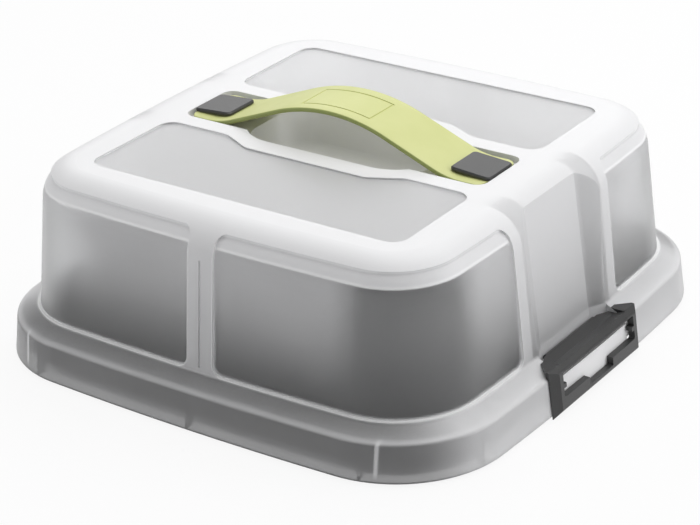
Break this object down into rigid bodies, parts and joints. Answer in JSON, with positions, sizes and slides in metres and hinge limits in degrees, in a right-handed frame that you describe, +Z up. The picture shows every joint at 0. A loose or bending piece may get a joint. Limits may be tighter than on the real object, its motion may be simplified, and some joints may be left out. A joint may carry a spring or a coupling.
{
  "type": "springform pan with cover",
  "caption": "Square springform pan that stands on its base plate under a frosted cover with a soft carry strap and side latches.",
  "frame": {"origin": "middle of the foot, on the plane that the base plate stands on", "axes": "+Z up, +X along the strap towards the latch that the picture shows, +Y towards the side with the ring's clasp"},
  "size_m": [0.3326, 0.3248, 0.1366],
  "materials": {
    "frosted_cover": "frosted, translucent",
    "lime_strap": "soft matte",
    "dark_plastic": "fine grain",
    "non_stick_steel": "dark non-stick coating",
    "steel": "bright drawn wire and sheet"
  },
  "bodies": {
    "base": {"base_plate": "non_stick_steel"},
    "ring": {"springform_ring": "non_stick_steel", "ring_rim_wire": "steel", "clasp_bracket": "steel", "clasp_catch": "steel", "clasp_rivets": "steel", "clasp_pins": "steel"},
    "lever": {"clasp_lever": "steel"},
    "link": {"clasp_link": "steel"},
    "cover": {"cover_shell": "frosted_cover", "left_peg": "dark_plastic", "right_peg": "dark_plastic", "left_peg_clip": "dark_plastic", "right_peg_clip": "dark_plastic", "left_latch_pin": "steel", "right_latch_pin": "steel"},
    "strap": {"carry_strap": "lime_strap"},
    "left_clip": {"left_latch": "dark_plastic"},
    "right_clip": {"right_latch": "dark_plastic"}
  },
  "joints": [
    {"name": "ring_lift", "type": "slide", "parent": "base", "child": "ring", "axis": [0, 0, 1], "range_m": [0, 0.09]},
    {"name": "cover_lift", "type": "slide", "parent": "ring", "child": "cover", "axis": [0, 0, 1], "range_m": [0, 0.15]},
    {"name": "strap_slide", "type": "slide", "parent": "cover", "child": "strap", "axis": [1, 0, 0], "range_m": [-0.001, 0.001]},
    {"name": "right_latch_hinge", "type": "hinge", "parent": "cover", "child": "right_clip", "pos_m": [0.1458, 0, 0.023], "axis": [0, -1, 0], "range_deg": [0, 25]},
    {"name": "left_latch_hinge", "type": "hinge", "parent": "cover", "child": "left_clip", "pos_m": [-0.1458, 0, 0.023], "axis": [0, 1, 0], "range_deg": [0, 25]},
    {"name": "clasp_lever_hinge", "type": "hinge", "parent": "ring", "child": "lever", "pos_m": [0.036, 0.127, 0.0165], "axis": [0, 0, 1], "range_deg": [0, 150]},
    {"name": "clasp_link_hinge", "type": "hinge", "parent": "lever", "child": "link", "pos_m": [0.043, 0.1237, 0.0165], "axis": [0, 0, 1], "range_deg": [-135, 0]}
  ],
  "couplings": [
    {"joint": "clasp_link_hinge", "follows": "clasp_lever_hinge", "ratio": -0.9}
  ]
}
